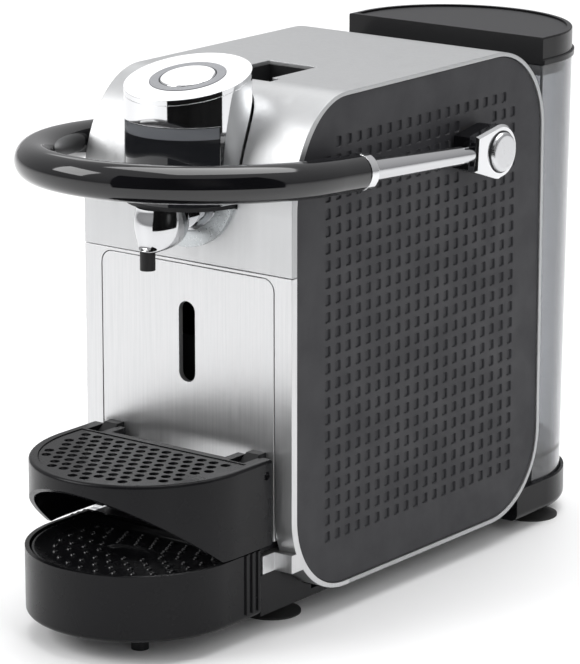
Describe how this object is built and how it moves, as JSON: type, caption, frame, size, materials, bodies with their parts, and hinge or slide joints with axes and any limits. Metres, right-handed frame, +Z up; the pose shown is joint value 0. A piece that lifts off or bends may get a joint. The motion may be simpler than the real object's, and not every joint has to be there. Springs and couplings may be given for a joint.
{
  "type": "pod coffee machine",
  "caption": "Pod coffee machine with a U-shaped lever, capsule slot, brew button, folding cup shelf, pull-out bin with drip tray, and a lift-off water tank.",
  "frame": {"origin": "centre of the footprint box, on the surface the machine stands on", "axes": "+Z up, the front with the spout faces -Y, +X is the machine's left-hand side seen from the back"},
  "size_m": [0.1666, 0.372, 0.2705],
  "materials": {
    "silver": "fine metallic satin",
    "panel": "matt, small recessed cells",
    "chrome": "polished",
    "brushed_cap": "spun",
    "light": "translucent",
    "smoked_window": "smoked gloss",
    "collar_grey": "satin",
    "grip_black": "gloss",
    "black_plastic": "satin",
    "rubber": "matt",
    "steel": "drawn",
    "brass": "turned",
    "copper_coil": "wound",
    "aluminium": "cast",
    "inner_plastic": "plain",
    "board": "plain",
    "tank_clear": "clear smoked plastic",
    "lid_grey": "matt"
  },
  "bodies": {
    "case": {"case_shell": "silver", "front_frame": "silver", "side_panel_right": "panel", "side_panel_left": "panel", "cord_gland": "black_plastic", "base": "black_plastic", "tank_holder": "black_plastic", "front_feet": "rubber", "rear_feet": "rubber", "head_housing": "chrome", "head_ring": "chrome", "light_ring": "light", "button_board": "board", "head_window": "smoked_window", "head_floor": "black_plastic", "outlet_collar": "collar_grey", "outlet_plate": "chrome", "spout": "chrome", "nozzle": "black_plastic", "lever_bushes": "brass", "brew_block": "inner_plastic", "brew_side_plates": "steel", "capsule_chute": "black_plastic", "drawer_rails": "black_plastic", "water_coupling": "black_plastic", "chassis_plate": "steel", "pump": "steel", "pump_coil": "copper_coil", "pump_mounts": "rubber", "thermoblock": "aluminium", "flow_meter": "inner_plastic", "control_board": "board", "hoses": "rubber", "screws": "steel"},
    "lever": {"lever_arms": "chrome", "lever_collars": "chrome", "lever_grip": "grip_black", "lever_bosses": "black_plastic", "lever_plates": "chrome", "lever_caps": "chrome", "lever_shaft": "steel", "cranks": "steel"},
    "links": {"toggle_links": "steel"},
    "carriage": {"brew_carriage": "inner_plastic", "carriage_pin": "steel"},
    "button": {"brew_button": "brushed_cap"},
    "drawer": {"drawer_frame": "black_plastic", "capsule_bin": "black_plastic", "bin_door": "silver", "drip_tray": "black_plastic", "tray_cover": "black_plastic", "tray_feet": "black_plastic", "hinge_blocks": "black_plastic", "hinge_pins": "steel"},
    "shelf": {"cup_shelf": "black_plastic", "shelf_grid": "black_plastic"},
    "tank": {"tank_body": "tank_clear", "tank_valve": "inner_plastic"},
    "lid": {"tank_lid": "lid_grey"}
  },
  "joints": [
    {"name": "lever_swing", "type": "hinge", "parent": "case", "child": "lever", "pos_m": [0, 0.055, 0.2135], "axis": [-1, 0, 0], "range_deg": [0, 80]},
    {"name": "link_swing", "type": "hinge", "parent": "lever", "child": "links", "pos_m": [0, 0.027, 0.2135], "axis": [-1, 0, 0], "range_deg": [-122.04, 0]},
    {"name": "carriage_slide", "type": "slide", "parent": "case", "child": "carriage", "axis": [0, 1, 0], "range_m": [0, 0.03366]},
    {"name": "button_press", "type": "slide", "parent": "case", "child": "button", "axis": [0, 0.2079, -0.9781], "range_m": [0, 0.0015], "stiffness_N_per_m": 600, "springref_m": -0.0006},
    {"name": "drawer_slide", "type": "slide", "parent": "case", "child": "drawer", "axis": [0, -1, 0], "range_m": [0, 0.1]},
    {"name": "shelf_fold", "type": "hinge", "parent": "drawer", "child": "shelf", "pos_m": [0, -0.103, 0.08], "axis": [-1, 0, 0], "range_deg": [0, 90]},
    {"name": "tank_lift", "type": "slide", "parent": "case", "child": "tank", "axis": [0, 0, 1], "range_m": [0, 0.06]},
    {"name": "lid_lift", "type": "slide", "parent": "tank", "child": "lid", "axis": [0, 0, 1], "range_m": [0, 0.03]}
  ],
  "couplings": [
    {"joint": "link_swing", "follows": "lever_swing", "ratio": -1.513},
    {"joint": "carriage_slide", "follows": "lever_swing", "m_per_rad": 0.023962}
  ]
}
